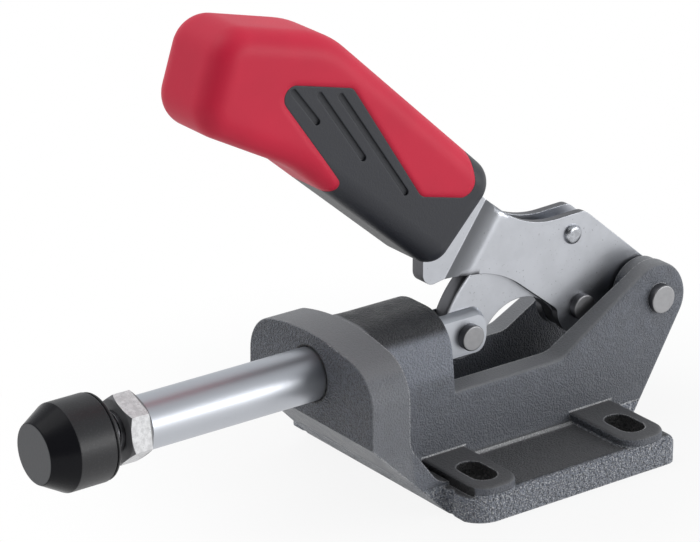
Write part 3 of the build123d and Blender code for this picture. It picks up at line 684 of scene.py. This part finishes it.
def lathe(name, outline, height, count=128):
    """A smooth closed skin turned about the X line at a height, its outline starting and ending there."""
    mesh = bpy.data.meshes.new(name)
    shape = bmesh.new()
    rings = []
    for x, r in outline:
        if r < 1e-6:
            rings.append([shape.verts.new((x, 0, height))])
            continue
        turns = [2 * pi * k / count for k in range(count)]
        rings.append([shape.verts.new((x, r * cos(turn), height + r * sin(turn))) for turn in turns])
    for one, two in zip(rings, rings[1:]):
        for k in range(count):
            near = [one[k % len(one)], one[(k + 1) % len(one)]]
            far = [two[(k + 1) % len(two)], two[k % len(two)]]
            around = list(dict.fromkeys(near + far))
            shape.faces.new(around).smooth = True
    bmesh.ops.recalc_face_normals(shape, faces=shape.faces)
    shape.to_mesh(mesh)
    shape.free()
    mesh.set_sharp_from_angle(angle=radians(35))
    return add_object(name, mesh)


def thread_tree():
    """Geometry nodes that wind a thread round a core and put a hexagon head on its end."""
    tree = bpy.data.node_groups.new("Threaded Screw", "GeometryNodeTree")
    face = tree.interface
    kinds = dict.fromkeys(("Shank", "Pitch", "Major Radius", "Depth", "Head", "Head Radius", "Turn"), "Float")
    kinds.update({"Steps": "Int", "Start": "Vector", "Material": "Material"})
    for label, kind in kinds.items():
        face.new_socket(name=label, in_out="INPUT", socket_type="NodeSocket" + kind)
    face.new_socket(name="Screw", in_out="OUTPUT", socket_type="NodeSocketGeometry")
    given = tree.nodes.new("NodeGroupInput").outputs
    link = tree.links.new

    def vector(x=0.0, y=0.0, z=0.0):
        made = tree.nodes.new("ShaderNodeCombineXYZ")
        for socket, value in zip(made.inputs, (x, y, z)):
            feed(tree, socket, value)
        return made.outputs[0]

    def moved(geometry, shift=None, turn=None):
        made = tree.nodes.new("GeometryNodeTransform")
        link(geometry, made.inputs["Geometry"])
        if shift is not None:
            link(shift, made.inputs["Translation"])
        if turn is not None:
            link(turn, made.inputs["Rotation"])
        return made.outputs[0]

    half_depth = calc(tree, "DIVIDE", given["Depth"], 2.0)
    spiral = tree.nodes.new("GeometryNodeCurveSpiral")
    middle_radius = calc(tree, "SUBTRACT", given["Major Radius"], half_depth)
    link(given["Steps"], spiral.inputs["Resolution"])
    link(calc(tree, "DIVIDE", given["Shank"], given["Pitch"]), spiral.inputs["Rotations"])
    link(middle_radius, spiral.inputs["Start Radius"])
    link(middle_radius, spiral.inputs["End Radius"])
    link(given["Shank"], spiral.inputs["Height"])
    upright = tree.nodes.new("GeometryNodeSetCurveNormal")
    upright.mode = "Z_UP"
    link(spiral.outputs[0], upright.inputs["Curve"])
    flank = tree.nodes.new("GeometryNodeCurvePrimitiveQuadrilateral")
    flank.mode = "TRAPEZOID"
    link(product(tree, given["Pitch"], RIDGE_FOOT), flank.inputs["Bottom Width"])
    link(product(tree, given["Pitch"], RIDGE_CREST), flank.inputs["Top Width"])
    link(given["Depth"], flank.inputs["Height"])
    flank.inputs["Offset"].default_value = 0.0
    ridge = tree.nodes.new("GeometryNodeCurveToMesh")
    link(upright.outputs[0], ridge.inputs["Curve"])
    link(moved(flank.outputs[0], turn=vector(z=-pi / 2)), ridge.inputs["Profile Curve"])
    ridge.inputs["Fill Caps"].default_value = True
    core = tree.nodes.new("GeometryNodeMeshCylinder")
    link(given["Steps"], core.inputs["Vertices"])
    core_radius = calc(tree, "SUBTRACT", given["Major Radius"], product(tree, given["Depth"], CORE_DEPTH))
    link(core_radius, core.inputs["Radius"])
    link(given["Shank"], core.inputs["Depth"])
    core_mesh = moved(core.outputs["Mesh"], vector(z=calc(tree, "DIVIDE", given["Shank"], 2.0)))
    head = tree.nodes.new("GeometryNodeMeshCylinder")
    head.inputs["Vertices"].default_value = 6
    link(given["Head Radius"], head.inputs["Radius"])
    link(given["Head"], head.inputs["Depth"])
    head_z = calc(tree, "ADD", given["Shank"], calc(tree, "DIVIDE", given["Head"], 2.0))
    head_mesh = moved(head.outputs["Mesh"], vector(z=head_z), vector(z=given["Turn"]))
    joined = tree.nodes.new("GeometryNodeJoinGeometry")
    for mesh in (ridge.outputs[0], core_mesh, head_mesh):
        link(mesh, joined.inputs[0])
    laid = moved(joined.outputs[0], given["Start"], vector(y=pi / 2))
    real = tree.nodes.new("GeometryNodeRealizeInstances")
    link(laid, real.inputs[0])
    coated = tree.nodes.new("GeometryNodeSetMaterial")
    link(real.outputs[0], coated.inputs["Geometry"])
    link(given["Material"], coated.inputs["Material"])
    link(coated.outputs[0], tree.nodes.new("NodeGroupOutput").inputs[0])
    return tree


def grown(name, tree, values):
    """Evaluates geometry nodes on an empty mesh and keeps only the plain result."""
    seed = add_object(name + ".seed", bpy.data.meshes.new(name + ".seed"))
    modifier = seed.modifiers.new(name, "NODES")
    modifier.node_group = tree
    for item in tree.interface.items_tree:
        if item.in_out == "INPUT":
            modifier[item.identifier] = values[item.name]
    seed.update_tag()
    graph = bpy.context.evaluated_depsgraph_get()
    mesh = bpy.data.meshes.new_from_object(seed.evaluated_get(graph), depsgraph=graph)
    mesh.name = name
    bpy.data.objects.remove(seed)
    mesh.set_sharp_from_angle(angle=radians(30))
    return add_object(name, mesh)


# ---------------------------------------------------------------- operators

class CLAMP_OT_casting(bpy.types.Operator):
    """Finish the base casting in hammered enamel"""
    bl_idname = "clamp.casting"
    bl_label = "Base Casting"

    def execute(self, context):
        dress(["base_casting"], casting_material(context.scene.clamp_casting))
        return {"FINISHED"}


class CLAMP_OT_shaft(bpy.types.Operator):
    """Finish the plunger in hard chrome"""
    bl_idname = "clamp.shaft"
    bl_label = "Plunger"

    def execute(self, context):
        dress(["plunger"], shaft_material(context.scene.clamp_shaft))
        return {"FINISHED"}


class CLAMP_OT_linkage(bpy.types.Operator):
    """Finish the handle plates and the link in zinc"""
    bl_idname = "clamp.linkage"
    bl_label = "Handle Plates and Link"

    def execute(self, context):
        plate = plate_material(context.scene.clamp_steel)
        dress(["handle_plate_left", "handle_plate_right", "link"], plate)
        return {"FINISHED"}


class CLAMP_OT_pins(bpy.types.Operator):
    """Finish the pins, spacers, sleeves and rivets"""
    bl_idname = "clamp.pins"
    bl_label = "Pins and Rivets"

    def execute(self, context):
        steel = context.scene.clamp_steel
        dress(["base_pivot_pin", "link_pivot_pin", "plunger_pin"], pin_material(steel))
        turned = zinc_material(steel, "zinc_turned", steel.plate, roughness=0.28, relief=0.00001)
        dress(["pivot_spacer_left", "pivot_spacer_right", "pivot_sleeve", "stop_sleeve",
               "tang_rivet_front", "tang_rivet_rear"], turned)
        domed = zinc_material(steel, "zinc_rivet", steel.plate, roughness=0.16, relief=0.000004,
                              rounding=0.0021)
        dress(["stop_rivet"], domed)
        return {"FINISHED"}


class CLAMP_OT_screw(bpy.types.Operator):
    """Wind the pressure screw's thread and finish the screw and its lock nut"""
    bl_idname = "clamp.screw"
    bl_label = "Pressure Screw and Nut"

    def execute(self, context):
        screw = context.scene.clamp_screw
        steel = context.scene.clamp_steel
        # the thread takes the dark sheared-edge colour: painted shade for the gap between the nut and the cap
        zinc = zinc_material(steel, "zinc_thread_painted_shade", steel.cut, roughness=0.34, relief=0.00001)
        piece = grown("screw_thread", thread_tree(), {
            "Shank": screw.shank, "Pitch": screw.pitch, "Major Radius": screw.major,
            "Depth": screw.depth, "Head": screw.head, "Head Radius": screw.across / 2,
            "Turn": screw.turn, "Steps": screw.steps, "Start": (screw.start, 0.0, AXIS_Z),
            "Material": zinc})
        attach(piece, "plunger")
        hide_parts("pressure_screw")
        # the nut's ends and rear ring get painted shade
        dress(["lock_nut"], zinc_material(steel, "zinc_forged", steel.nut, roughness=0.46, relief=0.00004,
                                          metallic=0.35, painted_end_shade=0.9))
        return {"FINISHED"}


class CLAMP_OT_cap(bpy.types.Operator):
    """Turn the rubber pressure cap with its moulded rim"""
    bl_idname = "clamp.cap"
    bl_label = "Pressure Cap"

    def execute(self, context):
        cap = context.scene.clamp_cap
        lip = cap.lip
        floor = cap.rear + CAP_HOLE
        groove = cap.rear + cap.bead
        bead_radius, groove_radius = cap.radius - 0.3 * lip, cap.radius - 0.9 * lip
        outline = eased([
            (floor, 0.0, 0.0), (floor, cap.mouth, 0.0), (cap.rear, cap.mouth, lip / 2),
            (cap.rear, bead_radius, lip), (groove, bead_radius, 0.4 * lip),
            (groove + 0.2 * lip, groove_radius, 0.2 * lip), (groove + 0.8 * lip, cap.radius, 0.4 * lip),
            (cap.shoulder, cap.radius, 1.6 * lip), (cap.front, cap.face_radius, lip), (cap.front, 0.0, 0.0)])
        piece = lathe("cap_rubber", outline, AXIS_Z)
        piece.data.materials.append(rubber_material(cap))
        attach(piece, "plunger")
        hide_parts("pressure_cap")
        return {"FINISHED"}


class CLAMP_OT_grip(bpy.types.Operator):
    """Finish the two-colour grip"""
    bl_idname = "clamp.grip"
    bl_label = "Grip"

    def execute(self, context):
        grip = context.scene.clamp_grip
        dress(["grip_cover"], plastic_material(grip, "red_plastic", grip.red, depth=0.00002,
                                               roughness=0.52, shine=0.32, rounding=0.0030))
        dress(["grip_core"], plastic_material(grip, "black_plastic", grip.black, depth=0.00006,
                                              roughness=0.46, shine=0.45, rounding=0.0006))
        return {"FINISHED"}


# ---------------------------------------------------------------- stage

# Lamps: where each stands, what it faces, its width and its height
KEY_LAMP = ((-1.05, 1.40, 0.30), (0, 0, 0.05), 1.3, 0.5)
TOP_LAMP = ((0.60, -0.50, 1.45), (0, 0, 0.08), 1.2, 1.0)
# The room: steps by height and by nearness to the camera's side, and the way to that side
OVERHEAD_Z, CAMERA_SIDE, TOWARD_CAMERA = (0.25, 0.80), (0.60, 0.84), (0.58, 0.75, 0.32)
# The table: the step from shadow to plain white, by distance, and the two tones of its surface
PLAIN_WHITE, TABLE_TONES = (0.06, 0.15), ((0.66, 0.66, 0.66), (0.69, 0.69, 0.69))
WHITE, COOL_WHITE = (1.0, 1.0, 1.0, 1.0), (0.96, 0.98, 1.0, 1.0)


def camera_turn(azimuth, elevation, roll):
    """The camera's rotation: azimuth 0 looks along +Y, and a quarter turn on along -X."""
    back = Vector((sin(azimuth) * cos(elevation), -cos(azimuth) * cos(elevation), sin(elevation)))
    right = Vector((cos(azimuth), sin(azimuth), 0))
    up = back.cross(right)
    turned = right * cos(roll) + up * sin(roll)
    return Matrix((turned, back.cross(turned), back)).transposed().to_quaternion()


def put(name, data, at, turn):
    """Adds a lamp or a camera at a place, turned."""
    made = add_object(name, data)
    made.location = at
    made.rotation_mode = "QUATERNION"
    made.rotation_quaternion = turn
    return made


def soft_lamp(name, at, aim, width, height, power):
    """A large rectangular lamp that faces a point."""
    light = bpy.data.lights.new(name, "AREA")
    light.shape = "RECTANGLE"
    light.size = width
    light.size_y = height
    light.energy = power
    put(name, light, at, (Vector(aim) - Vector(at)).to_track_quat("-Z", "Y"))


def mixed(tree, share, first, second, output):
    """Sends a mix of two shaders to the tree's output."""
    mix = tree.nodes.new("ShaderNodeMixShader")
    for socket, value in zip(mix.inputs, (share, first, second)):
        tree.links.new(value, socket)
    tree.links.new(mix.outputs[0], output.inputs["Surface"])


def floor_material(settings):
    """White table that keeps the clamp's shadow and fades to plain white further out."""
    material, tree, shader = new_material("white_table", Roughness=0.7, Specular_IOR_Level=0.2)
    where = here(tree)
    paper = noise(tree, where, 40.0, 3.0)
    tree.links.new(tint(tree, paper, *TABLE_TONES), shader.inputs["Base Color"])
    bump(tree, shader, paper, 0.0001)
    length = tree.nodes.new("ShaderNodeVectorMath")
    length.operation = "LENGTH"
    tree.links.new(where, length.inputs[0])
    rays = tree.nodes.new("ShaderNodeLightPath").outputs
    seen = calc(tree, "ADD", rays["Is Camera Ray"], rays["Is Glossy Ray"], clamp=True)
    seen = calc(tree, "ADD", seen, rays["Is Transmission Ray"], clamp=True)
    plain = lerp(tree, between(tree, length.outputs["Value"], *PLAIN_WHITE), 1.0 - settings.shadow, 1.0)
    white = place(tree, "ShaderNodeEmission", Color=WHITE, Strength=1.0)
    mixed(tree, product(tree, seen, plain), shader.outputs[0], white.outputs[0],
          tree.nodes["Material Output"])
    return material


def room(settings):
    """White room light, dimmer overhead and round the camera, that the camera sees as plain white."""
    world = bpy.data.worlds.new("studio")
    world.use_nodes = True
    tree = world.node_tree
    tree.nodes.clear()
    direction = tree.nodes.new("ShaderNodeTexCoord").outputs["Generated"]
    aim = tree.nodes.new("ShaderNodeVectorMath")
    aim.operation = "DOT_PRODUCT"
    tree.links.new(direction, aim.inputs[0])
    aim.inputs[1].default_value = Vector(TOWARD_CAMERA).normalized()
    _, _, up = axes(tree, direction)
    level = lerp(tree, between(tree, up, *OVERHEAD_Z), 1.0, settings.overhead)
    level = lerp(tree, between(tree, aim.outputs["Value"], *CAMERA_SIDE), level, settings.behind_camera)
    light = place(tree, "ShaderNodeBackground", Color=COOL_WHITE)
    tree.links.new(product(tree, level, settings.sky), light.inputs["Strength"])
    white = place(tree, "ShaderNodeBackground", Color=WHITE, Strength=1.0)
    rays = tree.nodes.new("ShaderNodeLightPath").outputs
    mixed(tree, rays["Is Camera Ray"], light.outputs[0], white.outputs[0],
          tree.nodes.new("ShaderNodeOutputWorld"))
    bpy.context.scene.world = world


class CLAMP_OT_stage(bpy.types.Operator):
    """Set the table, the soft lamps, the room and the camera"""
    bl_idname = "clamp.stage"
    bl_label = "Stage"

    def execute(self, context):
        settings = context.scene.clamp_stage
        half = settings.floor
        mesh = bpy.data.meshes.new("table")
        mesh.from_pydata([(-half, -half, 0), (half, -half, 0), (half, half, 0), (-half, half, 0)], [],
                         [(0, 1, 2, 3)])
        table = add_object("table", mesh)
        mesh.materials.append(floor_material(settings))
        soft_lamp("key", *KEY_LAMP, settings.key)
        soft_lamp("top", *TOP_LAMP, settings.top)
        room(settings)
        turn = camera_turn(settings.azimuth, settings.elevation, settings.roll)
        camera = put("camera", bpy.data.cameras.new("camera"), settings.place, turn)
        camera.data.lens = settings.lens
        camera.data.sensor_width = settings.sensor
        context.scene.camera = camera
        context.scene.view_settings.view_transform = "Standard"
        return {"FINISHED"}


class CLAMP_PT_build(bpy.types.Panel):
    """Lists the steps that dress the clamp"""
    bl_label = "Toggle Clamp"
    bl_idname = "CLAMP_PT_build"
    bl_space_type = "VIEW_3D"
    bl_region_type = "UI"
    bl_category = "Clamp"

    def draw(self, context):
        for step in STEPS:
            self.layout.operator(step.bl_idname)


SETTINGS = {
    "clamp_casting": ClampCasting, "clamp_shaft": ClampShaft, "clamp_steel": ClampSteel,
    "clamp_screw": ClampScrew, "clamp_cap": ClampCap, "clamp_grip": ClampGrip, "clamp_stage": ClampStage,
}
STEPS = (CLAMP_OT_casting, CLAMP_OT_shaft, CLAMP_OT_linkage, CLAMP_OT_pins, CLAMP_OT_screw,
         CLAMP_OT_cap, CLAMP_OT_grip, CLAMP_OT_stage)


def register():
    for group in SETTINGS.values():
        bpy.utils.register_class(group)
    for step in STEPS:
        bpy.utils.register_class(step)
    bpy.utils.register_class(CLAMP_PT_build)
    for name, group in SETTINGS.items():
        setattr(bpy.types.Scene, name, PointerProperty(type=group))


def unregister():
    for name in SETTINGS:
        delattr(bpy.types.Scene, name)
    bpy.utils.unregister_class(CLAMP_PT_build)
    for step in reversed(STEPS):
        bpy.utils.unregister_class(step)
    for group in reversed(SETTINGS.values()):
        bpy.utils.unregister_class(group)


def main():
    register()
    for other in ("Cube", "Light", "Camera"):
        if other in bpy.data.objects:
            bpy.data.objects.remove(bpy.data.objects[other])
    for step in STEPS:
        group, name = step.bl_idname.split(".")
        getattr(getattr(bpy.ops, group), name)()


if __name__ == "__main__":
    main()
